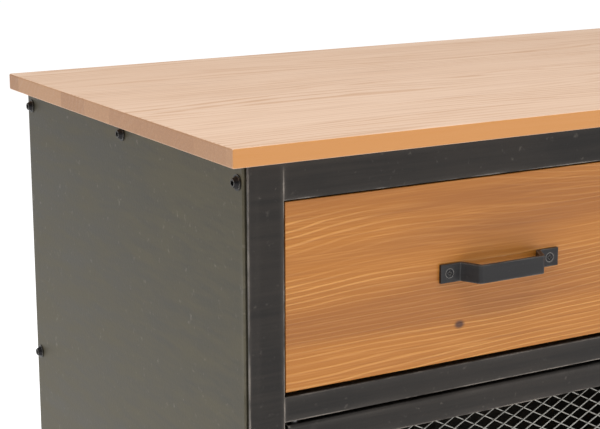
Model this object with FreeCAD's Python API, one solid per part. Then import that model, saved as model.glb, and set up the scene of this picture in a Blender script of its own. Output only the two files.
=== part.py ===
"""Industrial tv stand: a welded steel frame with folded steel side panels, a solid pine top,
two pine drawers and, under them, two doors of steel tube filled with expanded metal.

Row frame, millimetres: X to the right, Y to the back, Z up. The origin is on the floor, under the
middle of the bounding box, which runs from the drawer handles to the back edge of the top.
"""

import FreeCAD
import Part
import os

os.makedirs("parts", exist_ok=True)
Vector = FreeCAD.Vector

# ---- driving dimensions ------------------------------------------------------------------------
BAY_WIDTH = 400.0            # clear opening of each of the two bays
STILE_WIDTH = 30.0           # face of a front post and of the centre stile
TOP_RAIL_HEIGHT = 29.0
MID_RAIL_HEIGHT = 20.0
MID_RAIL_DEPTH = 25.0
BOTTOM_RAIL_HEIGHT = 30.0
FACE_THICKNESS = 2.0         # steel of the face frame, which is also that of the angles
BOARD_THICKNESS = 15.0
BODY_HEIGHT = 512.0          # side panel, from under the top
LEG_HEIGHT = 53.0            # floor to the underside of the body
FRAME_DEPTH = 435.0
SIDE_OVERHANG = 15.0
FRONT_OVERHANG = 5.0
BACK_OVERHANG = 10.0
BOARD_EDGE_RADIUS = 1.5

TUBE_WIDTH = 23.0            # square tube of the posts
TUBE_WALL = 1.5
PANEL_STANDOFF = STILE_WIDTH - TUBE_WIDTH   # from the stile's outer edge in to its tube
ANGLE_LEG = 23.0

PANEL_SHEET = 1.2
PANEL_PROUD = 1.0            # outer face of a side panel beyond the stile's edge
PANEL_SETBACK = 6.0          # front edge of a side panel behind the face
PANEL_BEND_RADIUS = 1.8

DRAWER_HEIGHT = 148.5
DRAWER_FRONT_THICKNESS = 15.0
DRAWER_RECESS = 1.0          # front of a drawer behind the face frame
DRAWER_GAP_TOP = 1.3
DRAWER_GAP_BOTTOM = 3.2
DRAWER_GAP_SIDE = 1.5
DRAWER_BOX_HEIGHT = 105.0
DRAWER_BOX_DEPTH = 370.0
DRAWER_SIDE_THICKNESS = 12.0
DRAWER_BOTTOM_THICKNESS = 5.0
DRAWER_BOTTOM_GROOVE = 5.0   # how far the bottom enters its sides

RUNNER_DEPTH = 12.0          # channel, out from the post
RUNNER_HEIGHT = 26.0
RUNNER_WALL = 1.5
RUNNER_CLEARANCE = 0.3       # between a drawer's slide bar and its channel
BOX_CLEARANCE = 1.0          # between a drawer side and the channel's lips

DOOR_GAP_TOP = 3.0
DOOR_GAP_BOTTOM = 3.0
DOOR_GAP_SIDE = 3.0
DOOR_TUBE = 21.5             # face of the door's tube
DOOR_DEPTH = 15.0
DOOR_WALL = 1.5
DOOR_EDGE_RADIUS = 2.5
MESH_RECESS = 7.5            # front of the mesh behind the door's face
MESH_THICKNESS = 1.5
MESH_STRAND = 1.4            # width of a strand
MESH_CELL_WIDTH = 20.2       # long way of the diamonds
MESH_CELL_HEIGHT = 10.8      # short way
PIVOT_RADIUS = 3.0
PIVOT_CLEARANCE = 0.08
PIVOT_INSET = 9.0            # pivot line from the door's edge
PIVOT_BLOCK = 16.0           # height of the solid plug in each hinge corner of a door
PIVOT_THROUGH = 1.5          # how far a pivot pin passes the rail that it turns in

SHELF_THICKNESS = 12.0
SHELF_SETBACK = 22.0         # shelf front behind the face, which clears the door's swing
BOTTOM_LEG_DEPTH = 34.0      # horizontal leg of the front bottom rail
BACK_SHEET = 1.0
CABLE_SLOT = (90.0, 40.0)    # width and height, one behind each door

HANDLE_HOLE_SPACING = 100.0
HANDLE_TAB = 20.0
HANDLE_HEIGHT = 15.0
HANDLE_STOCK = 2.5
HANDLE_BEND = 1.0            # inside radius of each bend
HANDLE_SLANT = 8.3           # sideways run of each leg
HANDLE_STANDOFF = 19.0       # face of the bar from the face that it's fixed to
HANDLE_SCREW_RADIUS = 2.0
HANDLE_SCREW_HEAD = 4.0

BOLT_RADIUS = 3.0
BOLT_HEAD_RADIUS = 5.0
BOLT_HEAD_HEIGHT = 3.6
BOLT_SOCKET = 4.0            # across flats
WASHER_RADIUS = 6.2
WASHER_THICKNESS = 0.8
BOLT_CLEARANCE = 0.15
BOLT_FROM_TOP = 14.5
BOLT_FROM_TOP_MIDDLE = 9.6
BOLT_FROM_FRONT = 8.4
BOLT_FROM_BACK = 10.0
BOLT_PITCH = 241.5
SMALL_SCREW_RADIUS = 1.75
SMALL_HEAD_RADIUS = 4.0
SMALL_HEAD_HEIGHT = 1.8

FOOT_HEIGHT = 6.0
FOOT_PLUG = 14.0
FOOT_CLEARANCE = 0.2
CATCH_SIZE = (24.0, 12.0, 10.0)
CATCH_GAP = 0.4

# ---- places that follow ------------------------------------------------------------------------
FRAME_WIDTH = 2 * BAY_WIDTH + 3 * STILE_WIDTH
BOARD_WIDTH = FRAME_WIDTH + 2 * SIDE_OVERHANG
BOARD_DEPTH = FRONT_OVERHANG + FRAME_DEPTH + BACK_OVERHANG
HANDLE_REACH = max(HANDLE_STANDOFF, FRONT_OVERHANG + HANDLE_STOCK)
TOTAL_DEPTH = HANDLE_REACH + FRAME_DEPTH + BACK_OVERHANG
FACE = -TOTAL_DEPTH / 2 + HANDLE_REACH       # front plane of the frame, drawers and doors
BACK = FACE + FRAME_DEPTH                    # back plane of the posts
LEFT = -FRAME_WIDTH / 2
BODY_BOTTOM = LEG_HEIGHT
BODY_TOP = LEG_HEIGHT + BODY_HEIGHT
TOP_RAIL_BOTTOM = BODY_TOP - TOP_RAIL_HEIGHT
DRAWER_TOP = TOP_RAIL_BOTTOM - DRAWER_GAP_TOP
DRAWER_BOTTOM = DRAWER_TOP - DRAWER_HEIGHT
MID_RAIL_TOP = DRAWER_BOTTOM - DRAWER_GAP_BOTTOM
MID_RAIL_BOTTOM = MID_RAIL_TOP - MID_RAIL_HEIGHT
DOOR_TOP = MID_RAIL_BOTTOM - DOOR_GAP_TOP
BOTTOM_RAIL_TOP = BODY_BOTTOM + BOTTOM_RAIL_HEIGHT
DOOR_BOTTOM = BOTTOM_RAIL_TOP + DOOR_GAP_BOTTOM
TUBE_FRONT = FACE + FACE_THICKNESS
PANEL_FRONT = FACE + PANEL_SETBACK
BACK_TUBE_FRONT = BACK - TUBE_WIDTH


def box(x0, x1, y0, y1, z0, z1):
    """A block between two corners, given as pairs along X, Y and Z."""
    return Part.makeBox(x1 - x0, y1 - y0, z1 - z0, Vector(x0, y0, z0))


def rod(radius, start, direction, length):
    """A round bar from start along direction."""
    return Part.makeCylinder(radius, length, Vector(*start), Vector(*direction))


def fused(shapes):
    """One solid out of pieces that are welded together."""
    return shapes[0].fuse(shapes[1:]).removeSplitter()


def mirrored(shape):
    """The same piece on the other side of the middle plane."""
    return shape.mirror(Vector(0, 0, 0), Vector(1, 0, 0))


def rounded(shape, radius, keep):
    """Fillets the straight edges that keep(edge) picks."""
    return shape.makeFillet(radius, [e for e in shape.Edges if keep(e)])


def save(name, *solids):
    """Writes one node, with one solid or a group of separate ones."""
    shape = solids[0] if len(solids) == 1 else Part.makeCompound(list(solids))
    shape.exportStep(f"parts/{name}.step")


# ---- fasteners ---------------------------------------------------------------------------------
def hexagon(across, length, point, direction):
    """A hexagonal prism, for a socket."""
    corner = across / 3 ** 0.5
    wire = Part.makePolygon([Vector(corner, 0, 0)] + [
        FreeCAD.Rotation(Vector(0, 0, 1), 60 * i).multVec(Vector(corner, 0, 0)) for i in range(1, 7)])
    prism = Part.Face(wire).extrude(Vector(0, 0, length))
    prism.Placement = FreeCAD.Placement(Vector(*point), FreeCAD.Rotation(Vector(0, 0, 1), Vector(*direction)))
    return prism


def socket_bolt(point, out, grip):
    """Button-head bolt whose washer lies on point. out points from the face to the head."""
    seat = Vector(*point) + Vector(*out) * WASHER_THICKNESS
    crown_radius = BOLT_HEAD_RADIUS * 0.62
    head = Part.makeCone(BOLT_HEAD_RADIUS, crown_radius, BOLT_HEAD_HEIGHT, seat, Vector(*out))
    shank = rod(BOLT_RADIUS, seat, -Vector(*out), grip + WASHER_THICKNESS)
    top = seat + Vector(*out) * BOLT_HEAD_HEIGHT
    socket = hexagon(BOLT_SOCKET, BOLT_HEAD_HEIGHT * 0.6, top, -Vector(*out))
    return fused([head, shank]).cut(socket)


def washer(point, out):
    """Flat washer under a bolt head."""
    ring = rod(WASHER_RADIUS, point, out, WASHER_THICKNESS)
    return ring.cut(rod(BOLT_RADIUS + BOLT_CLEARANCE, point, out, WASHER_THICKNESS))


def pan_screw(point, out, grip):
    """Small pan-head screw, its head seated on point."""
    head = rod(SMALL_HEAD_RADIUS, point, out, SMALL_HEAD_HEIGHT)
    shank = rod(SMALL_SCREW_RADIUS, point, [-c for c in out], grip)
    return fused([head, shank])


# ---- frame -------------------------------------------------------------------------------------
PANEL_X = LEFT - PANEL_PROUD                 # outer face of the left side panel
TUBE_LEFT = LEFT + PANEL_STANDOFF            # outer face of the left posts' tubes
PANEL_BACK = BACK
BOLT_FRONT_Y = PANEL_FRONT + BOLT_FROM_FRONT
BOLT_BACK_Y = PANEL_BACK - BOLT_FROM_BACK
BOLT_MIDDLE_Y = (BOLT_FRONT_Y + BOLT_BACK_Y) / 2
BOLT_ROWS = [BODY_TOP - BOLT_FROM_TOP - row * BOLT_PITCH for row in range(3)]
BOLT_PLACES = [(y, z) for z in BOLT_ROWS for y in (BOLT_FRONT_Y, BOLT_BACK_Y)] + [
    (BOLT_MIDDLE_Y, BODY_TOP - BOLT_FROM_TOP_MIDDLE),
    (BOLT_MIDDLE_Y, BODY_BOTTOM + BOLT_FROM_TOP_MIDDLE)]


def bolt_holes(x0, x1):
    """Clearance holes for the panel bolts of the left side, between two X planes."""
    radius = BOLT_RADIUS + BOLT_CLEARANCE
    return Part.makeCompound([rod(radius, (x0, y, z), (1, 0, 0), x1 - x0) for y, z in BOLT_PLACES])


def tube(x0, x1, y0, y1, z0, z1):
    """Upright square tube, open at both ends."""
    core = box(x0 + TUBE_WALL, x1 - TUBE_WALL, y0 + TUBE_WALL, y1 - TUBE_WALL, z0, z1)
    return box(x0, x1, y0, y1, z0, z1).cut(core)


def angle(x0, x1, y0, y1, z0, z1, wall_side, leg_side):
    """Steel angle in the given box, with its walls on two of the box's sides."""
    sides = {
        "front": (x0, x1, y0, y0 + FACE_THICKNESS, z0, z1), "back": (x0, x1, y1 - FACE_THICKNESS, y1, z0, z1),
        "left": (x0, x0 + FACE_THICKNESS, y0, y1, z0, z1), "top": (x0, x1, y0, y1, z1 - FACE_THICKNESS, z1),
        "bottom": (x0, x1, y0, y1, z0, z0 + FACE_THICKNESS)}
    return fused([box(*sides[wall_side]), box(*sides[leg_side])])


def small_holes(places, direction, length):
    """Clearance holes for small screws."""
    radius = SMALL_SCREW_RADIUS + BOLT_CLEARANCE
    return Part.makeCompound([rod(radius, place, direction, length) for place in places])


def front_post():
    """Left front post: a face bar with a square tube welded behind it, set in from its edge."""
    face = box(LEFT, LEFT + STILE_WIDTH, FACE, TUBE_FRONT, FOOT_HEIGHT, BODY_TOP)
    legs = tube(TUBE_LEFT, LEFT + STILE_WIDTH, TUBE_FRONT, TUBE_FRONT + TUBE_WIDTH, FOOT_HEIGHT, BODY_TOP)
    return fused([face, legs]).cut(bolt_holes(TUBE_LEFT - 1, TUBE_LEFT + TUBE_WIDTH / 2))


def back_post():
    """Left back post: a square tube, drilled for the side panel and the back sheet."""
    post = tube(TUBE_LEFT, LEFT + STILE_WIDTH, BACK_TUBE_FRONT, BACK, FOOT_HEIGHT, BODY_TOP)
    post = post.cut(bolt_holes(TUBE_LEFT - 1, TUBE_LEFT + TUBE_WIDTH / 2))
    return post.cut(small_holes(BACK_SCREWS_LEFT, (0, -1, 0), TUBE_WALL * 2))


BACK_SCREW_ROWS = [BODY_BOTTOM + BODY_HEIGHT * share for share in (0.2, 0.5, 0.8)]
BACK_SCREWS_LEFT = [(TUBE_LEFT + TUBE_WIDTH / 2, BACK, z) for z in BACK_SCREW_ROWS]
BACK_SCREWS = BACK_SCREWS_LEFT + [(-x, y, z) for x, y, z in BACK_SCREWS_LEFT] + [
    (0.0, BACK, z) for z in BACK_SCREW_ROWS]

save("front_post_left", front_post())
save("front_post_right", mirrored(front_post()))
save("back_post_left", back_post())
save("back_post_right", mirrored(back_post()))

HALF = STILE_WIDTH / 2
stile_face = box(-HALF, HALF, FACE, TUBE_FRONT, BOTTOM_RAIL_TOP, TOP_RAIL_BOTTOM)
stile_tube = tube(-HALF, HALF, TUBE_FRONT, TUBE_FRONT + TUBE_WIDTH, BOTTOM_RAIL_TOP, TOP_RAIL_BOTTOM)
save("center_stile", fused([stile_face, stile_tube]))
back_center = tube(-HALF, HALF, BACK_TUBE_FRONT, BACK, BOTTOM_RAIL_TOP, BODY_TOP - ANGLE_LEG)
save("back_post_center", back_center.cut(small_holes(BACK_SCREWS, (0, -1, 0), TUBE_WALL * 2)))

RAIL_LEFT = LEFT + STILE_WIDTH
BOARD_SCREW_Y = TUBE_FRONT + TUBE_WIDTH / 2 - 2
BOARD_SCREW_XS = (-BAY_WIDTH * 0.75, 0.0, BAY_WIDTH * 0.75)
BOARD_SCREWS = [(x, y, BODY_TOP - FACE_THICKNESS) for x in BOARD_SCREW_XS
                for y in (BOARD_SCREW_Y, BACK - ANGLE_LEG / 2)]
BOARD_SCREW_GRIP = FACE_THICKNESS + BOARD_THICKNESS * 0.7
board_holes = small_holes([(x, y, z - 1) for x, y, z in BOARD_SCREWS], (0, 0, 1), FACE_THICKNESS + 1)

top_rail = angle(RAIL_LEFT, -RAIL_LEFT, FACE, FACE + ANGLE_LEG, TOP_RAIL_BOTTOM, BODY_TOP, "front", "top")
save("front_top_rail", top_rail.cut(board_holes))

PIVOT_X = RAIL_LEFT + DOOR_GAP_SIDE + PIVOT_INSET        # left door's pivot line
PIVOT_Y = FACE + DOOR_DEPTH / 2
pivot_hole = rod(PIVOT_RADIUS + PIVOT_CLEARANCE, (PIVOT_X, PIVOT_Y, BODY_BOTTOM), (0, 0, 1),
                 MID_RAIL_BOTTOM + FACE_THICKNESS + 1 - BODY_BOTTOM)
mid_rail = box(RAIL_LEFT, -HALF, FACE, FACE + MID_RAIL_DEPTH, MID_RAIL_BOTTOM, MID_RAIL_TOP)
mid_rail = rounded(mid_rail, 0.6, lambda e: abs(e.BoundBox.ZMin - MID_RAIL_TOP) < 1e-6
                   and e.BoundBox.YMax < FACE + 1e-6 and e.Length > BAY_WIDTH / 2)
mid_rail = mid_rail.cut(box(RAIL_LEFT, -HALF, TUBE_FRONT, FACE + MID_RAIL_DEPTH - FACE_THICKNESS,
                            MID_RAIL_BOTTOM + FACE_THICKNESS, MID_RAIL_TOP - FACE_THICKNESS)).cut(pivot_hole)
save("front_mid_rails", mid_rail, mirrored(mid_rail))

bottom_rail = angle(RAIL_LEFT, -RAIL_LEFT, FACE, FACE + BOTTOM_LEG_DEPTH, BODY_BOTTOM, BOTTOM_RAIL_TOP,
                    "front", "top")
save("front_bottom_rail", bottom_rail.cut(pivot_hole).cut(mirrored(pivot_hole)))

SIDE_RAIL_FRONT = TUBE_FRONT + TUBE_WIDTH
back_top = angle(RAIL_LEFT, -RAIL_LEFT, BACK - ANGLE_LEG, BACK, BODY_TOP - ANGLE_LEG, BODY_TOP, "back", "top")
save("back_top_rail", back_top.cut(board_holes))
SHELF_SEAT = BOTTOM_RAIL_TOP
back_bottom = angle(RAIL_LEFT, -RAIL_LEFT, BACK - ANGLE_LEG, BACK, BODY_BOTTOM, SHELF_SEAT, "back", "top")
save("back_bottom_rail", back_bottom)
side_top = angle(TUBE_LEFT, TUBE_LEFT + ANGLE_LEG, SIDE_RAIL_FRONT, BACK_TUBE_FRONT,
                 BODY_TOP - ANGLE_LEG, BODY_TOP, "left", "top").cut(bolt_holes(TUBE_LEFT - 1, TUBE_LEFT + 5))
save("side_top_rails", side_top, mirrored(side_top))
side_bottom = angle(TUBE_LEFT, TUBE_LEFT + ANGLE_LEG, SIDE_RAIL_FRONT, BACK_TUBE_FRONT,
                    BODY_BOTTOM, SHELF_SEAT, "left", "top").cut(bolt_holes(TUBE_LEFT - 1, TUBE_LEFT + 5))
save("side_bottom_rails", side_bottom, mirrored(side_bottom))



def foot(tube_front):
    """Plastic foot: a pad under the post and a plug up inside its tube."""
    gap = TUBE_WALL + FOOT_CLEARANCE
    pad = box(TUBE_LEFT, LEFT + STILE_WIDTH, tube_front, tube_front + TUBE_WIDTH, 0, FOOT_HEIGHT)
    pad = rounded(pad, 1.5, lambda e: abs(e.BoundBox.ZMax) < 1e-6)
    plug = box(TUBE_LEFT + gap, LEFT + STILE_WIDTH - gap, tube_front + gap, tube_front + TUBE_WIDTH - gap,
               FOOT_HEIGHT, FOOT_HEIGHT + FOOT_PLUG)
    return fused([pad, plug])


feet = [foot(TUBE_FRONT), foot(BACK_TUBE_FRONT)]
save("feet", *feet, *[mirrored(f) for f in feet])


# ---- skins: side panels, back, shelf and top ----------------------------------------------------
def side_panel():
    """Left side panel: sheet folded back on four sides, so that it stands off the posts."""
    depth = PANEL_PROUD + PANEL_STANDOFF
    shell = box(PANEL_X, PANEL_X + depth, PANEL_FRONT, PANEL_BACK, BODY_BOTTOM, BODY_TOP)
    shell = rounded(shell, PANEL_BEND_RADIUS,
                    lambda e: e.BoundBox.XMax < PANEL_X + 1e-6)
    hollow = box(PANEL_X + PANEL_SHEET, PANEL_X + depth, PANEL_FRONT + PANEL_SHEET, PANEL_BACK - PANEL_SHEET,
                 BODY_BOTTOM + PANEL_SHEET, BODY_TOP - PANEL_SHEET)
    return shell.cut(hollow).cut(bolt_holes(PANEL_X - 1, PANEL_X + PANEL_SHEET + 1))


save("side_panel_left", side_panel())
save("side_panel_right", mirrored(side_panel()))
OUT_LEFT = (-1, 0, 0)
BOLT_GRIP = PANEL_PROUD + PANEL_STANDOFF + TUBE_WALL + 6
bolts = [socket_bolt((PANEL_X, y, z), OUT_LEFT, BOLT_GRIP) for y, z in BOLT_PLACES]
washers = [washer((PANEL_X, y, z), OUT_LEFT) for y, z in BOLT_PLACES]
save("panel_bolts_left", *bolts)
save("panel_bolts_right", *[mirrored(b) for b in bolts])
save("panel_washers", *washers, *[mirrored(w) for w in washers])

back_sheet = box(TUBE_LEFT, -TUBE_LEFT, BACK, BACK + BACK_SHEET, BODY_BOTTOM, BODY_TOP)
slot_width, slot_height = CABLE_SLOT
slot_middle = (RAIL_LEFT - HALF) / 2
slot_z = (MID_RAIL_BOTTOM + BOTTOM_RAIL_TOP) / 2
slot = box(slot_middle - slot_width / 2, slot_middle + slot_width / 2, BACK, BACK + BACK_SHEET,
           slot_z - slot_height / 2, slot_z + slot_height / 2)
back_sheet = back_sheet.cut(slot).cut(mirrored(slot))
save("back_panel", back_sheet.cut(small_holes([(x, BACK, z) for x, y, z in BACK_SCREWS], (0, 1, 0), BACK_SHEET)))
save("back_screws", *[pan_screw((x, BACK + BACK_SHEET, z), (0, 1, 0), 7.0) for x, y, z in BACK_SCREWS])

shelf = box(TUBE_LEFT + FACE_THICKNESS, -TUBE_LEFT - FACE_THICKNESS, FACE + SHELF_SETBACK,
            BACK - FACE_THICKNESS, SHELF_SEAT, SHELF_SEAT + SHELF_THICKNESS)
SHELF_GAP = 1.0
for side in (-1, 1):
    inner = side * (FRAME_WIDTH / 2 - STILE_WIDTH - SHELF_GAP)
    outer = side * FRAME_WIDTH / 2
    for y0, y1 in ((FACE, TUBE_FRONT + TUBE_WIDTH + SHELF_GAP), (BACK_TUBE_FRONT - SHELF_GAP, BACK)):
        shelf = shelf.cut(box(min(inner, outer), max(inner, outer), y0, y1, BODY_BOTTOM, BODY_TOP))
for y0, y1 in ((FACE, TUBE_FRONT + TUBE_WIDTH + SHELF_GAP), (BACK_TUBE_FRONT - SHELF_GAP, BACK)):
    shelf = shelf.cut(box(-HALF - SHELF_GAP, HALF + SHELF_GAP, y0, y1, BODY_BOTTOM, BODY_TOP))
save("bottom_shelf", shelf)

board = box(-BOARD_WIDTH / 2, BOARD_WIDTH / 2, FACE - FRONT_OVERHANG, BACK + BACK_OVERHANG,
            BODY_TOP, BODY_TOP + BOARD_THICKNESS)
board = rounded(board, BOARD_EDGE_RADIUS, lambda e: True)
board = board.cut(small_holes([(x, y, BODY_TOP) for x, y, z in BOARD_SCREWS], (0, 0, 1),
                              BOARD_SCREW_GRIP - FACE_THICKNESS))
save("top_board", board)
save("board_screws", *[pan_screw(place, (0, 0, -1), BOARD_SCREW_GRIP) for place in BOARD_SCREWS])


# ---- handles -----------------------------------------------------------------------------------
HANDLE_LENGTH = HANDLE_HOLE_SPACING + HANDLE_TAB - 3


def strap_handle():
    """Bent flat bar, centred on the origin, lying along X on the plane Y = 0 and standing out to -Y."""
    half, tab = HANDLE_LENGTH / 2, HANDLE_TAB
    reach, stock = HANDLE_STANDOFF, HANDLE_STOCK
    skew = stock * 0.6                       # keeps the slanted legs as thick as the bar
    outline = [(-half, 0), (-half, -stock), (-half + tab - skew, -stock), (-half + tab + HANDLE_SLANT - skew, -reach),
               (half - tab - HANDLE_SLANT + skew, -reach), (half - tab + skew, -stock), (half, -stock), (half, 0),
               (half - tab - skew, 0), (half - tab - HANDLE_SLANT - skew, -reach + stock),
               (-half + tab + HANDLE_SLANT + skew, -reach + stock), (-half + tab + skew, 0)]
    points = [Vector(x, y, -HANDLE_HEIGHT / 2) for x, y in outline]
    bar = Part.Face(Part.makePolygon(points + points[:1])).extrude(Vector(0, 0, HANDLE_HEIGHT))
    for radius, planes in ((HANDLE_BEND + stock, (0, -reach)), (HANDLE_BEND, (-stock, -reach + stock))):
        bar = rounded(bar, radius, lambda e: abs(e.Length - HANDLE_HEIGHT) < 1e-6
                      and abs(abs(e.BoundBox.Center.x) - half) > 1
                      and min(abs(e.BoundBox.Center.y - y) for y in planes) < 1e-6)
    for x in (-HANDLE_HOLE_SPACING / 2, HANDLE_HOLE_SPACING / 2):
        bar = bar.cut(rod(HANDLE_SCREW_RADIUS + BOLT_CLEARANCE, (x, 1, 0), (0, -1, 0), stock + 2))
        bar = bar.cut(Part.makeCone(HANDLE_SCREW_RADIUS + BOLT_CLEARANCE, HANDLE_SCREW_HEAD + BOLT_CLEARANCE,
                                    1.8, Vector(x, -stock + 1.8, 0), Vector(0, -1, 0)))
    return bar


def handle_screws(grip):
    """The handle's two countersunk screws, with a cross recess, in the handle's own frame."""
    screws = []
    for x in (-HANDLE_HOLE_SPACING / 2, HANDLE_HOLE_SPACING / 2):
        head_top = -HANDLE_STOCK + 0.2
        head = Part.makeCone(HANDLE_SCREW_RADIUS, HANDLE_SCREW_HEAD - 0.1, 1.5, Vector(x, head_top + 1.5, 0),
                             Vector(0, -1, 0))
        shank = rod(HANDLE_SCREW_RADIUS, (x, head_top + 1.5, 0), (0, 1, 0), grip + HANDLE_STOCK - 1.7)
        slot = [box(x - 1.8, x + 1.8, head_top - 1, head_top + 0.9, -0.45, 0.45),
                box(x - 0.45, x + 0.45, head_top - 1, head_top + 0.9, -1.8, 1.8)]
        screws.append(fused([head, shank]).cut(fused(slot)))
    return screws


def placed(shape, x, y, z, turn=0.0):
    """A copy turned about Y and moved."""
    copy = shape.copy()
    copy.Placement = FreeCAD.Placement(Vector(x, y, z), FreeCAD.Rotation(Vector(0, 1, 0), turn))
    return copy


# ---- drawers -----------------------------------------------------------------------------------
BAY_LEFT = RAIL_LEFT                          # left bay, from the post to the centre stile
BAY_RIGHT = -HALF
BAY_MIDDLE = (BAY_LEFT + BAY_RIGHT) / 2
BOX_LEFT = BAY_LEFT + RUNNER_DEPTH + BOX_CLEARANCE
BOX_RIGHT = BAY_RIGHT - RUNNER_DEPTH - BOX_CLEARANCE
DRAWER_FACE = FACE + DRAWER_RECESS
BOX_FRONT = DRAWER_FACE + DRAWER_FRONT_THICKNESS
BOX_BACK = BOX_FRONT + DRAWER_BOX_DEPTH
BOX_BOTTOM = DRAWER_BOTTOM + (DRAWER_HEIGHT - DRAWER_BOX_HEIGHT) / 2 - 6
BOX_TOP = BOX_BOTTOM + DRAWER_BOX_HEIGHT
RUNNER_BOTTOM = (BOX_BOTTOM + BOX_TOP) / 2 - RUNNER_HEIGHT / 2
PANEL_FLOOR = BOX_BOTTOM + 8.0                # underside of a drawer's bottom
DRAWER_GRIP = 12.0                            # how far a handle screw enters the front


def channel():
    """Runner channel on the left wall of the left bay, from post to post, open towards the drawer."""
    outer = box(BAY_LEFT, BAY_LEFT + RUNNER_DEPTH, BOX_FRONT + 1, BACK - 1, RUNNER_BOTTOM,
                RUNNER_BOTTOM + RUNNER_HEIGHT)
    inner = box(BAY_LEFT + RUNNER_WALL, BAY_LEFT + RUNNER_DEPTH, TUBE_FRONT, BACK,
                RUNNER_BOTTOM + RUNNER_WALL, RUNNER_BOTTOM + RUNNER_HEIGHT - RUNNER_WALL)
    return outer.cut(inner)


def slide_bar():
    """Bar on the drawer's left side, which runs in the channel."""
    gap = RUNNER_WALL + RUNNER_CLEARANCE
    return box(BAY_LEFT + gap, BOX_LEFT, BOX_FRONT + 2, BOX_BACK - 2, RUNNER_BOTTOM + gap,
               RUNNER_BOTTOM + RUNNER_HEIGHT - gap)


def across_bay(shape):
    """The same piece on the other wall of the left bay."""
    return shape.mirror(Vector(BAY_MIDDLE, 0, 0), Vector(1, 0, 0))


def drawer_pieces():
    """The left drawer, node name to solids."""
    grip_holes = [rod(HANDLE_SCREW_RADIUS + BOLT_CLEARANCE, (BAY_MIDDLE + x, DRAWER_FACE, DRAWER_MIDDLE), (0, 1, 0),
                      DRAWER_GRIP + 1) for x in (-HANDLE_HOLE_SPACING / 2, HANDLE_HOLE_SPACING / 2)]
    front = box(BAY_LEFT + DRAWER_GAP_SIDE, BAY_RIGHT - DRAWER_GAP_SIDE, DRAWER_FACE, BOX_FRONT, DRAWER_BOTTOM, DRAWER_TOP)
    front = rounded(front, 0.8, lambda e: e.BoundBox.YMax < DRAWER_FACE + 1e-6)
    front = front.cut(Part.makeCompound(grip_holes))
    groove = box(BOX_LEFT + DRAWER_SIDE_THICKNESS - DRAWER_BOTTOM_GROOVE,
                 BOX_RIGHT - DRAWER_SIDE_THICKNESS + DRAWER_BOTTOM_GROOVE, BOX_FRONT, BOX_BACK,
                 PANEL_FLOOR, PANEL_FLOOR + DRAWER_BOTTOM_THICKNESS)
    side = box(BOX_LEFT, BOX_LEFT + DRAWER_SIDE_THICKNESS, BOX_FRONT, BOX_BACK, BOX_BOTTOM, BOX_TOP).cut(groove)
    back = box(BOX_LEFT + DRAWER_SIDE_THICKNESS, BOX_RIGHT - DRAWER_SIDE_THICKNESS,
               BOX_BACK - DRAWER_SIDE_THICKNESS, BOX_BACK, PANEL_FLOOR + DRAWER_BOTTOM_THICKNESS, BOX_TOP)
    handle = placed(strap_handle(), BAY_MIDDLE, DRAWER_FACE, DRAWER_MIDDLE)
    screws = [placed(s, BAY_MIDDLE, DRAWER_FACE, DRAWER_MIDDLE) for s in handle_screws(DRAWER_GRIP)]
    return {"drawer_front": [front], "drawer_sides": [side, across_bay(side)], "drawer_back": [back],
            "drawer_bottom": [groove], "drawer_slides": [slide_bar(), across_bay(slide_bar())],
            "drawer_handle": [handle], "drawer_handle_screws": screws}


DRAWER_MIDDLE = DRAWER_BOTTOM + DRAWER_HEIGHT / 2

for name, solids in drawer_pieces().items():
    save(name + "_left", *solids)
    save(name + "_right", *[mirrored(s) for s in solids])
save("runners_left", channel(), across_bay(channel()))
save("runners_right", mirrored(channel()), mirrored(across_bay(channel())))


# ---- doors -------------------------------------------------------------------------------------
DOOR_LEFT = BAY_LEFT + DOOR_GAP_SIDE
DOOR_RIGHT = BAY_RIGHT - DOOR_GAP_SIDE
DOOR_BACK = FACE + DOOR_DEPTH
DOOR_HANDLE_X = DOOR_RIGHT - DOOR_TUBE / 2
DOOR_MIDDLE = (DOOR_TOP + DOOR_BOTTOM) / 2
MESH_FRONT = FACE + MESH_RECESS


def door_box(inset, y0, y1):
    """A block as large as the left door, less inset all round."""
    return box(DOOR_LEFT + inset, DOOR_RIGHT - inset, y0, y1, DOOR_BOTTOM + inset, DOOR_TOP - inset)


def door_frame():
    """Four lengths of tube, mitred and welded, with a solid plug for each pivot pin."""
    frame = rounded(door_box(0, FACE, DOOR_BACK), DOOR_EDGE_RADIUS, lambda e: e.BoundBox.YMax < FACE + 1e-6)
    hollow = door_box(DOOR_WALL, FACE + DOOR_WALL, DOOR_BACK - DOOR_WALL)
    hollow = hollow.cut(door_box(DOOR_TUBE - DOOR_WALL, FACE, DOOR_BACK))
    for z in (DOOR_BOTTOM, DOOR_TOP - PIVOT_BLOCK):
        hollow = hollow.cut(box(DOOR_LEFT, DOOR_LEFT + DOOR_TUBE, FACE, DOOR_BACK, z, z + PIVOT_BLOCK))
    frame = frame.cut(door_box(DOOR_TUBE, FACE, DOOR_BACK)).cut(hollow)
    holes = [rod(PIVOT_RADIUS, (PIVOT_X, PIVOT_Y, z), (0, 0, 1), PIVOT_BLOCK)
             for z in (DOOR_BOTTOM, DOOR_TOP - PIVOT_BLOCK)]
    holes += [rod(HANDLE_SCREW_RADIUS + BOLT_CLEARANCE, (DOOR_HANDLE_X, FACE, DOOR_MIDDLE + z), (0, 1, 0),
                  DOOR_WALL + 1) for z in (-HANDLE_HOLE_SPACING / 2, HANDLE_HOLE_SPACING / 2)]
    return frame.cut(Part.makeCompound(holes))


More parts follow.
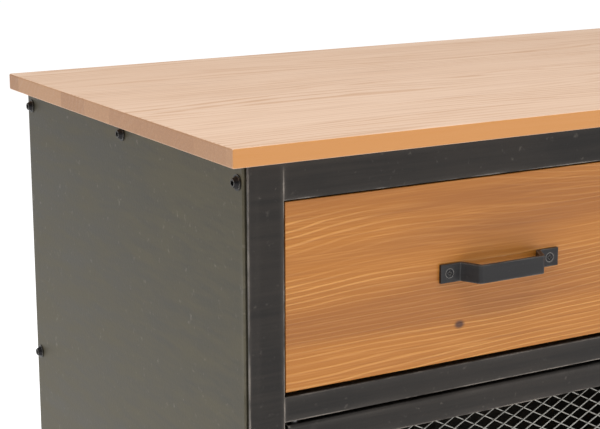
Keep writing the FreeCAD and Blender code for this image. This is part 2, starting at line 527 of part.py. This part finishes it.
def clipped(points, limit, along, sign):
    """The part of a convex polygon of (x, z) points that lies on one side of a straight line."""
    kept = []
    for start, end in zip(points, points[1:] + points[:1]):
        depth_start = sign * (limit - start[along])
        depth_end = sign * (limit - end[along])
        if depth_start >= 0:
            kept.append(start)
        if depth_start * depth_end < 0:
            share = depth_start / (depth_start - depth_end)
            kept.append(tuple(a + (b - a) * share for a, b in zip(start, end)))
    return kept


def door_mesh():
    """Expanded metal infill: one sheet with a lattice of diamond openings, clipped at its border."""
    x0, x1 = DOOR_LEFT + DOOR_TUBE, DOOR_RIGHT - DOOR_TUBE
    z0, z1 = DOOR_BOTTOM + DOOR_TUBE, DOOR_TOP - DOOR_TUBE
    half_height = MESH_CELL_HEIGHT / 2 - MESH_STRAND / 2
    half_width = half_height * MESH_CELL_WIDTH / MESH_CELL_HEIGHT
    border = MESH_STRAND / 2
    sheet = Part.makePolygon([Vector(x, MESH_FRONT, z) for x, z in
                              ((x0, z0), (x1, z0), (x1, z1), (x0, z1), (x0, z0))])
    openings = []
    rows = int((z1 - z0) / (MESH_CELL_HEIGHT / 2)) + 2
    columns = int((x1 - x0) / MESH_CELL_WIDTH) + 2
    for row in range(rows):
        for column in range(columns):
            x = x0 + MESH_CELL_WIDTH * (column + 0.5 * (row % 2)) - MESH_CELL_WIDTH / 4
            z = z1 - MESH_CELL_HEIGHT / 2 * row + MESH_CELL_HEIGHT / 4
            diamond = [(x - half_width, z), (x, z - half_height), (x + half_width, z), (x, z + half_height)]
            for limit, along, sign in ((x0 + border, 0, -1), (x1 - border, 0, 1),
                                       (z0 + border, 1, -1), (z1 - border, 1, 1)):
                diamond = clipped(diamond, limit, along, sign)
            corners = [Vector(x, MESH_FRONT, z) for x, z in diamond]
            if len(corners) < 3 or Part.Face(Part.makePolygon(corners + corners[:1])).Area < MESH_STRAND ** 2:
                continue
            openings.append(Part.makePolygon(corners + corners[:1]))
    face = Part.Face([sheet] + openings)
    return face.extrude(Vector(0, MESH_THICKNESS, 0))


def pivot_pins():
    """Door pivot pins, pressed into the plugs and turning in the rails."""
    length = PIVOT_BLOCK + DOOR_GAP_TOP + FACE_THICKNESS + PIVOT_THROUGH
    return [rod(PIVOT_RADIUS, (PIVOT_X, PIVOT_Y, DOOR_TOP - PIVOT_BLOCK), (0, 0, 1), length),
            rod(PIVOT_RADIUS, (PIVOT_X, PIVOT_Y, DOOR_BOTTOM + PIVOT_BLOCK), (0, 0, -1),
                length - DOOR_GAP_TOP + DOOR_GAP_BOTTOM)]


DOOR_GRIP = DOOR_WALL + 3.0
pieces = {"door_frame": [door_frame()], "door_mesh": [door_mesh()], "door_pivots": pivot_pins(),
          "door_handle": [placed(strap_handle(), DOOR_HANDLE_X, FACE, DOOR_MIDDLE, 90)],
          "door_handle_screws": [placed(s, DOOR_HANDLE_X, FACE, DOOR_MIDDLE, 90) for s in handle_screws(DOOR_GRIP)]}
for name, solids in pieces.items():
    save(name + "_left", *solids)
    save(name + "_right", *[mirrored(s) for s in solids])

catch_width, catch_depth, catch_height = CATCH_SIZE
catch_right = DOOR_RIGHT - 4.0
catch = box(catch_right - catch_width, catch_right, DOOR_BACK + CATCH_GAP, DOOR_BACK + CATCH_GAP + catch_depth,
            MID_RAIL_BOTTOM - catch_height, MID_RAIL_BOTTOM)
save("magnet_catches", catch, mirrored(catch))
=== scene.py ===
import math

import bpy
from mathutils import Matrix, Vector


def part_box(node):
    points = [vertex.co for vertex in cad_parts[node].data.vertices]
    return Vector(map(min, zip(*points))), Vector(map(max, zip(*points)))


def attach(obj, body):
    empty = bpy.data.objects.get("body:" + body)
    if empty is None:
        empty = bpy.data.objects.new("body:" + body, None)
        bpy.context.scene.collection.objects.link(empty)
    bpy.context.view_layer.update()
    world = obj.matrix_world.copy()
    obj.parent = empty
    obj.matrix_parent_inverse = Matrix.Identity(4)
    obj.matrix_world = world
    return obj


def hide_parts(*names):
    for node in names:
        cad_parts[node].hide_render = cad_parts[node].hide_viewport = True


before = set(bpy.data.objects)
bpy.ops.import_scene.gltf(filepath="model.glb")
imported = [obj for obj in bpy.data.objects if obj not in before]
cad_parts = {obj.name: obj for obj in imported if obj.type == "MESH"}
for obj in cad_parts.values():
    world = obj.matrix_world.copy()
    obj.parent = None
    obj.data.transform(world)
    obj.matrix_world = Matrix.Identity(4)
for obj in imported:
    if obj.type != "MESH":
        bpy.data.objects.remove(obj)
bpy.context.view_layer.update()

# ---- Welded frame ------------------------------------------------------------------------------
# Posts, stile and rails of square tube and folded angle, mild steel. They are welded, dipped in a
# blackening patina and waxed, so the colour is cloudy; the lighter grey edges are rubbed wear and a painted
# highlight.


class Value:
    """A shader socket that can be used in plain arithmetic."""

    def __init__(self, tree, socket):
        self.tree, self.socket = tree, socket

    def node(self, kind, settings, inputs, output=0):
        """Adds any node with its settings and inputs, and returns one of its outputs."""
        node = self.tree.nodes.new("ShaderNode" + kind)
        for name, value in settings.items():
            setattr(node, name, value)
        for name, value in inputs.items():
            if isinstance(value, Value):
                self.tree.links.new(value.socket, node.inputs[name])
            else:
                node.inputs[name].default_value = value
        return Value(self.tree, node.outputs[output])

    def math(self, operation, first, second=0.0):
        """One Math node, with either side a number or a Value."""
        return self.node("Math", {"operation": operation}, {0: first, 1: second})

    def __add__(self, other):
        return self.math("ADD", self, other)

    def __sub__(self, other):
        return self.math("SUBTRACT", self, other)

    def __rsub__(self, other):
        return self.math("SUBTRACT", other, self)

    def __mul__(self, other):
        return self.math("MULTIPLY", self, other)

    def __truediv__(self, other):
        return self.math("DIVIDE", self, other)

    def __abs__(self):
        return self.math("ABSOLUTE", self)

    def floor(self):
        return self.math("FLOOR", self)

    def sine(self):
        return self.math("SINE", self)

    __radd__ = __add__
    __rmul__ = __mul__

    def between(self, low, high):
        """0 below low, 1 above high and a smooth step between."""
        return self.node("MapRange", {"interpolation_type": "SMOOTHSTEP"},
                         {"Value": self, "From Min": low, "From Max": high})

    def stretched(self, x, y, z):
        """The vector with each of its axes scaled."""
        return self.node("VectorMath", {"operation": "MULTIPLY"}, {0: self, 1: (x, y, z)})

    def length(self):
        """The vector's length."""
        return self.node("VectorMath", {"operation": "LENGTH"}, {0: self}, 1)

    def noise(self, scale, detail=3.0, roughness=0.5):
        """Noise at this place, from 0 to 1."""
        return self.node("TexNoise", {}, {"Vector": self, "Scale": scale, "Detail": detail,
                                          "Roughness": roughness})

    def axis(self, index):
        """The vector's X, Y or Z."""
        return self.node("SeparateXYZ", {}, {0: self}, index)

    def blend(self, first, second):
        """Mixes two colours with this value as the factor."""
        mix = self.tree.nodes.new("ShaderNodeMix")
        mix.data_type = "RGBA"
        self.tree.links.new(self.socket, mix.inputs[0])
        for socket, colour in ((mix.inputs[6], first), (mix.inputs[7], second)):
            if isinstance(colour, Value):
                self.tree.links.new(colour.socket, socket)
            else:
                socket.default_value = colour
        return Value(self.tree, mix.outputs[2])


def paint(red, green, blue):
    """A linear colour from the usual 0 to 255 steps."""
    return tuple(((c / 255 + 0.055) / 1.055) ** 2.4 if c > 10 else c / 3294.6 for c in (red, green, blue)) + (1.0,)


def new_material(name):
    """An empty material: the material, its object coordinates and its shader."""
    material = bpy.data.materials.new(name)
    material.use_nodes = True
    tree = material.node_tree
    place = tree.nodes.new("ShaderNodeTexCoord")
    return material, Value(tree, place.outputs["Object"]), tree.nodes["Principled BSDF"]


def drive(shader, **values):
    """Links or sets the shader's sockets."""
    for name, value in values.items():
        socket = shader.inputs[name.replace("_", " ")]
        if isinstance(value, Value):
            value.tree.links.new(value.socket, socket)
        else:
            socket.default_value = value


def edge_mask(place, radius):
    """Is 1 along sharp edges and 0 on flat faces."""
    rounded = place.node("Bevel", {"samples": 4}, {"Radius": radius})
    true = place.node("NewGeometry", {}, {}, 1)
    same = place.node("VectorMath", {"operation": "DOT_PRODUCT"}, {0: rounded, 1: true}, 1)
    return (1.0 - same).between(0.01, 0.18)


def bumped(place, height, distance, strength=1.0):
    """A normal raised by height, over distance in metres."""
    return place.node("Bump", {}, {"Height": height, "Distance": distance, "Strength": strength})


def dress(material, *nodes):
    """Gives CAD nodes one material."""
    for name in nodes:
        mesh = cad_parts[name].data
        mesh.materials.clear()
        mesh.materials.append(material)


def patinated_steel(name, dark, light, edge, rough, blotch=7.0):
    """Blackened steel: cloudy between two tones, with edges lightened to a third: rubbed wear and a painted
    highlight.
    """
    material, place, shader = new_material(name)
    brushing = place.stretched(1.0, 5.0, 30.0).noise(blotch * 0.8, 5.0, 0.6)
    clouds = (place.noise(blotch, 5.0, 0.6) * 0.5 + brushing * 0.5).between(0.36, 0.64)
    specks = place.noise(160.0, 3.0, 0.6).between(0.62, 0.78)
    # Narrow lighter line on the sharp edges: rubbed wear, and partly a painted highlight.
    wear_and_highlight = edge_mask(place, 0.0018) * place.noise(35.0, 3.0).between(0.35, 0.62)
    colour = (specks * 0.12).blend(clouds.blend(dark, light), edge)
    # Wider, faint lighter band along the edges: painted highlight, with some wear.
    soft_highlight_and_wear = edge_mask(place, 0.007) * place.noise(18.0, 4.0).between(0.3, 0.7)
    colour = (soft_highlight_and_wear * 0.1).blend(colour, edge)
    colour = (wear_and_highlight * 0.85).blend(colour, edge)
    drive(shader, Base_Color=colour, Metallic=0.55, Roughness=rough + clouds * 0.12,
          Normal=bumped(place, place.noise(420.0, 4.0), 0.00012))
    return material


# The third tone is for the edges: rubbed wear and a painted highlight.
frame_steel = patinated_steel("frame_steel", paint(27, 24, 22), paint(46, 41, 37), paint(170, 160, 150), 0.40)
dress(frame_steel, "front_post_left", "front_post_right", "back_post_left", "back_post_right", "center_stile",
      "back_post_center", "front_top_rail", "front_mid_rails", "front_bottom_rail", "back_top_rail",
      "back_bottom_rail", "side_top_rails", "side_bottom_rails")

# ---- Feet --------------------------------------------------------------------------------------
# Injection-moulded black plastic plugs, pushed up into the open ends of the four posts. Each has a
# slightly grained pad that spreads the load on the floor.
black_plastic, place, shader = new_material("foot_plastic")
drive(shader, Base_Color=paint(26, 26, 27), Roughness=place.noise(300.0) * 0.2 + 0.5,
      Normal=bumped(place, place.noise(900.0), 0.0001))
dress(black_plastic, "feet")

# ---- Side panels and their bolts -----------------------------------------------------------------
# Cold-rolled sheet folded back along all four sides and bolted through the posts. Its green-grey
# lacquer is mottled, and the fold carries a painted highlight, a near-white line along the bend. The bolts are
# black button heads.
# The near-white third tone is the painted highlight on the folds and edges.
panel_steel = patinated_steel("panel_steel", paint(58, 54, 41), paint(86, 80, 62), paint(205, 198, 182), 0.42, 4.0)
dress(panel_steel, "side_panel_left", "side_panel_right")

bolt_black, place, shader = new_material("bolt_black")
rub = edge_mask(place, 0.0006)
drive(shader, Base_Color=rub.blend(paint(34, 33, 34), paint(120, 116, 110)), Metallic=0.8,
      Roughness=place.noise(700.0) * 0.2 + 0.22)
dress(bolt_black, "panel_bolts_left", "panel_bolts_right", "panel_washers")

# ---- Back panel, shelf and zinc hardware -----------------------------------------------------------
# A thin matt sheet with two cable slots closes the back. The shelf is birch plywood laid on the
# bottom rails. Screws, pivots and runners are zinc plated, with the crystal bloom of the plating.
back_steel = patinated_steel("back_steel", paint(48, 47, 45), paint(64, 62, 58), paint(110, 106, 98), 0.55)
dress(back_steel, "back_panel")

zinc, place, shader = new_material("zinc")
bloom = place.node("TexVoronoi", {}, {"Vector": place, "Scale": 220.0})
drive(shader, Base_Color=bloom.blend(paint(176, 178, 180), paint(206, 207, 206)), Metallic=1.0,
      Roughness=bloom * 0.2 + 0.3)
dress(zinc, "back_screws", "board_screws", "door_pivots_left", "door_pivots_right", "runners_left",
      "runners_right", "drawer_slides_left", "drawer_slides_right")


def pine(name, early, late, end, edge, bold, pitch, stave, coat, relief, thin=0.0, knot=None):
    """Pine with its grain along X: late-wood lines on the faces, rings and pores on the ends.

    edge is how far the Y faces go to a colour of their own, pitch the lines to a metre, stave the
    width of a glued strip and knot the place of one small knot.
    """
    material, place, shader = new_material(name)
    facing = Value(place.tree, place.tree.nodes["Texture Coordinate"].outputs["Normal"])
    board = (place.axis(1) / stave).floor()
    tint = place.node("TexWhiteNoise", {"noise_dimensions": "1D"}, {"W": board})
    shift = place.node("CombineXYZ", {}, {"X": tint * 3.0, "Y": 0.0, "Z": tint * 0.4})
    moved = place.node("VectorMath", {"operation": "ADD"}, {0: place, 1: shift})
    field = moved.stretched(2.2, 8.0, 8.0).noise(1.0, 1.5, 0.4)
    wobble = moved.stretched(12.0, 90.0, 90.0).noise(1.0, 2.0)
    across = place.axis(1) + place.axis(2)
    lines = ((field * bold + wobble * 0.9 + across * pitch) * 6.283).sine().between(thin, 1.0)
    lines = lines * moved.stretched(3.0, 40.0, 40.0).noise(1.0, 3.0).between(0.25, 0.7)
    fibre = moved.stretched(14.0, 900.0, 900.0).noise(1.0, 3.0)
    pores = moved.stretched(900.0, 900.0, 900.0).noise(1.0, 2.0)
    colour = (lines * 0.75).blend(early, late)
    colour = (fibre.between(0.45, 0.75) * 0.28).blend(colour, late)
    streaks = moved.stretched(8.0, 420.0, 420.0).noise(1.0, 4.0).between(0.5, 0.74)
    colour = (streaks * 0.3).blend(colour, end)
    colour = (tint * 0.16).blend(colour, late)
    if knot:
        offset = place.node("VectorMath", {"operation": "SUBTRACT"}, {0: place, 1: knot})
        distance = offset.stretched(0.7, 0.0, 1.0).length()
        broad = moved.stretched(2.0, 22.0, 22.0).noise(1.0, 3.0).between(0.42, 0.7)
        colour = (broad * 0.45).blend(colour, end)
        colour = (1.0 - (distance + wobble * 0.003).between(0.0032, 0.0062)).blend(colour, paint(84, 44, 18))
    front = abs(facing.axis(1)).between(0.6, 0.8)
    ends = abs(facing.axis(0)).between(0.6, 0.8)
    colour = (front * edge[0]).blend(colour, edge[1])
    rings = (tint * 0.5 + pores.between(0.4, 0.7) * 0.3).blend(end, late)
    colour = ends.blend(colour, rings)
    drive(shader, Base_Color=colour, Roughness=0.52 - lines * 0.08, Coat_Weight=coat,
          Normal=bumped(place, lines * relief + fibre * 0.25, 0.0004))
    shader.inputs["Coat Roughness"].default_value = 0.35
    return material


plywood = pine("plywood", paint(186, 156, 118), paint(164, 132, 94), paint(150, 118, 82), (0.0, paint(0, 0, 0)),
               6.0, 40.0, 2.0, 0.0, 0.2)
dress(plywood, "bottom_shelf", "drawer_bottom_left", "drawer_bottom_right")

# ---- Top -------------------------------------------------------------------------------------------
# Solid pine staves glued edge to edge, planed, with a small round on every edge. The lacquered top face
# is pale, the front and back faces are a darker orange, and the end grain is darker too.
pine_top = pine("pine_top", paint(236, 203, 176), paint(206, 158, 116), paint(172, 124, 86),
                (0.92, paint(200, 132, 56)), 11.0, 100.0, 0.052, 0.12, 0.3)
dress(pine_top, "top_board")

# ---- Drawers ---------------------------------------------------------------------------------------
# Fronts of wire-brushed pine in a warm stain: the soft wood is scoured away, so that the hard grain
# stands up and catches the light. The boxes behind are plain planed pine.
pine_front = pine("pine_front", paint(174, 106, 24), paint(222, 158, 82), paint(130, 70, 18),
                  (0.0, paint(0, 0, 0)), 19.0, 190.0, 2.0, 0.08, 1.0, 0.3, (-0.253, 0.0, 0.416))
dress(pine_front, "drawer_front_left", "drawer_front_right")
pine_box = pine("pine_box", paint(214, 184, 142), paint(190, 152, 106), paint(176, 140, 96),
                (0.0, paint(0, 0, 0)), 7.0, 60.0, 2.0, 0.0, 0.3)
dress(pine_box, "drawer_sides_left", "drawer_sides_right", "drawer_back_left", "drawer_back_right")

# ---- Handles ---------------------------------------------------------------------------------------
# Flat bar, bent hot into a strap and powder coated satin black; the bends and edges are lighter, rubbed wear and a
# painted highlight. Each is held by two countersunk cross-head screws in the same black.
handle_black = patinated_steel("handle_black", paint(32, 31, 32), paint(44, 43, 44), paint(112, 108, 104), 0.36)
dress(handle_black, "drawer_handle_left", "drawer_handle_right", "door_handle_left", "door_handle_right")
screw_black, place, shader = new_material("screw_black")
drive(shader, Base_Color=edge_mask(place, 0.0004).blend(paint(38, 37, 38), paint(150, 146, 140)), Metallic=0.8,
      Roughness=0.3)
dress(screw_black, "drawer_handle_screws_left", "drawer_handle_screws_right", "door_handle_screws_left",
      "door_handle_screws_right")

# ---- Doors -----------------------------------------------------------------------------------------
# Frames of rounded tube in the same patina as the cabinet. The infill is expanded mild steel, slit
# and stretched into diamonds, left bare and lacquered.
dress(frame_steel, "door_frame_left", "door_frame_right")
mesh_steel, place, shader = new_material("mesh_steel")
drive(shader, Base_Color=place.noise(60.0).blend(paint(138, 136, 130), paint(176, 174, 168)), Metallic=0.7,
      Roughness=place.noise(300.0) * 0.2 + 0.35)
CELL_WIDTH, CELL_HEIGHT, STRAND_RADIUS = 0.0202, 0.0108, 0.00058
FIRST_KNOT = (0.0183, -0.0025)      # a crossing, from the opening's upper left corner


def strand_span(low, high, knot_x, knot_z, slope):
    """Where a straight strand through a knot enters and leaves the door's opening, as two x values."""
    ends = sorted((knot_x + (z - knot_z) / slope for z in (low[2], high[2])))
    return max(low[0], ends[0]), min(high[0], ends[1])


def weave(side):
    """The diamond infill of one door: two families of strands that cross, one in front."""
    low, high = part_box("door_mesh_" + side)
    slope = CELL_HEIGHT / CELL_WIDTH
    middle = (low[1] + high[1]) / 2
    bpy.ops.object.select_all(action="DESELECT")
    strands = []
    for rise, depth in ((slope, -0.0004), (-slope, 0.0004)):
        for count in range(-25, 45):
            knot_x, knot_z = low[0] + FIRST_KNOT[0] + CELL_WIDTH * count, high[2] + FIRST_KNOT[1]
            start, end = strand_span(low, high, knot_x, knot_z, rise)
            if end - start < 0.0015:
                continue
            x = (start + end) / 2
            bpy.ops.mesh.primitive_cylinder_add(
                vertices=10, radius=STRAND_RADIUS, depth=(end - start) * math.hypot(1.0, rise),
                location=(x, middle + depth, knot_z + (x - knot_x) * rise),
                rotation=(0, math.pi / 2 - math.atan(rise), 0))
            strands.append(bpy.context.object)
    for strand in strands:
        strand.select_set(True)
    bpy.ops.object.join()
    bpy.ops.object.transform_apply(location=True, rotation=True, scale=True)
    bpy.ops.object.mode_set(mode="EDIT")
    bpy.ops.mesh.select_all(action="SELECT")
    bpy.ops.mesh.normals_make_consistent(inside=False)
    bpy.ops.object.mode_set(mode="OBJECT")
    bpy.ops.object.shade_smooth_by_angle(angle=math.radians(50))
    infill = bpy.context.object
    infill.name = "door_infill_" + side
    infill.data.materials.append(mesh_steel)
    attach(infill, side + "_door")
    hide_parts("door_mesh_" + side)


weave("left")
weave("right")
dress(black_plastic, "magnet_catches")

# ---- Floor, light and camera -------------------------------------------------------------------------
# A white studio sweep lit by one wide soft box high on the left and a weaker one in front.
bpy.ops.object.select_all(action="DESELECT")
bpy.ops.mesh.primitive_plane_add(size=40.0)
floor = bpy.context.object
floor.name = "floor"
white, place, shader = new_material("studio_white")
drive(shader, Base_Color=(0.9, 0.9, 0.9, 1.0), Roughness=0.9, Emission_Color=(1.0, 1.0, 1.0, 1.0))
shader.inputs["Emission Strength"].default_value = 0.68
floor.data.materials.append(white)

world = bpy.data.worlds.new("studio")
world.use_nodes = True
world.node_tree.nodes["Background"].inputs["Color"].default_value = (1.0, 1.0, 1.0, 1.0)
world.node_tree.nodes["Background"].inputs["Strength"].default_value = 0.38
bpy.context.scene.world = world
for name, spot, turn, wide, power in (("key", (-0.5, -0.9, 3.0), (14, 0, -25), 2.2, 62.0),
                                      ("fill", (1.8, -3.0, 1.2), (72, 0, 32), 1.6, 8.0)):
    bpy.ops.object.light_add(type="AREA", location=spot, rotation=[math.radians(a) for a in turn])
    light = bpy.context.object
    light.name = name
    light.data.size = wide
    light.data.energy = power

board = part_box("top_board")
corner = (board[0][0], board[0][1], board[1][2])
bpy.ops.object.camera_add(location=(corner[0] - 0.5467, corner[1] - 1.0358, corner[2] + 0.22),
                          rotation=(math.radians(77.09), math.radians(0.14), math.radians(-30.22)))
camera = bpy.context.object
camera.data.sensor_width = 36.0
camera.data.lens = 99.7
bpy.context.scene.camera = camera
bpy.context.scene.view_settings.view_transform = "Standard"
